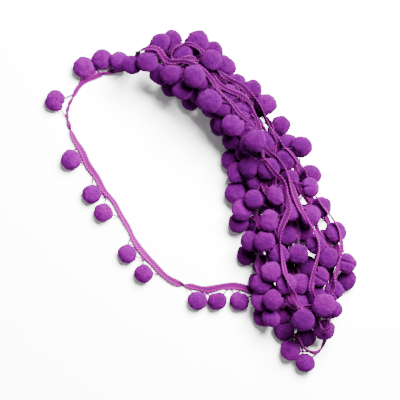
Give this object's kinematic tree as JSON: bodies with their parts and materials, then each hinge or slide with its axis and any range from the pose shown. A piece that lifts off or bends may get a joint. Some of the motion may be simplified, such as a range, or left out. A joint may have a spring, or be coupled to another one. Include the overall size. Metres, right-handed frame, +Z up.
{
  "type": "hank of pompom fringe trim",
  "caption": "Hank of narrow purple braid with round yarn pompoms tied along one edge, lying in a crescent with one loose turn.",
  "frame": {"origin": "middle of the outline seen from above, on the surface that the hank rests on", "axes": "+Z up, +Y along the hank's long way towards the tip where the loose turn leaves it, and the loose turn lies towards -X"},
  "size_m": [0.2484, 0.2704, 0.0705],
  "materials": {
    "trim": "matt"
  },
  "bodies": {
    "root": {"stretch_01": "trim", "stretch_02": "trim", "stretch_03": "trim", "stretch_04": "trim", "stretch_05": "trim", "stretch_06": "trim", "stretch_07": "trim", "stretch_08": "trim", "stretch_09": "trim", "stretch_10": "trim", "stretch_11": "trim", "stretch_12": "trim", "stretch_13": "trim", "stretch_14": "trim", "stretch_15": "trim", "stretch_16": "trim", "stretch_17": "trim", "stretch_18": "trim", "stretch_19": "trim", "stretch_20": "trim", "stretch_21": "trim", "stretch_22": "trim", "stretch_23": "trim", "stretch_24": "trim", "stretch_25": "trim", "stretch_26": "trim", "stretch_27": "trim"}
  },
  "joints": []
}
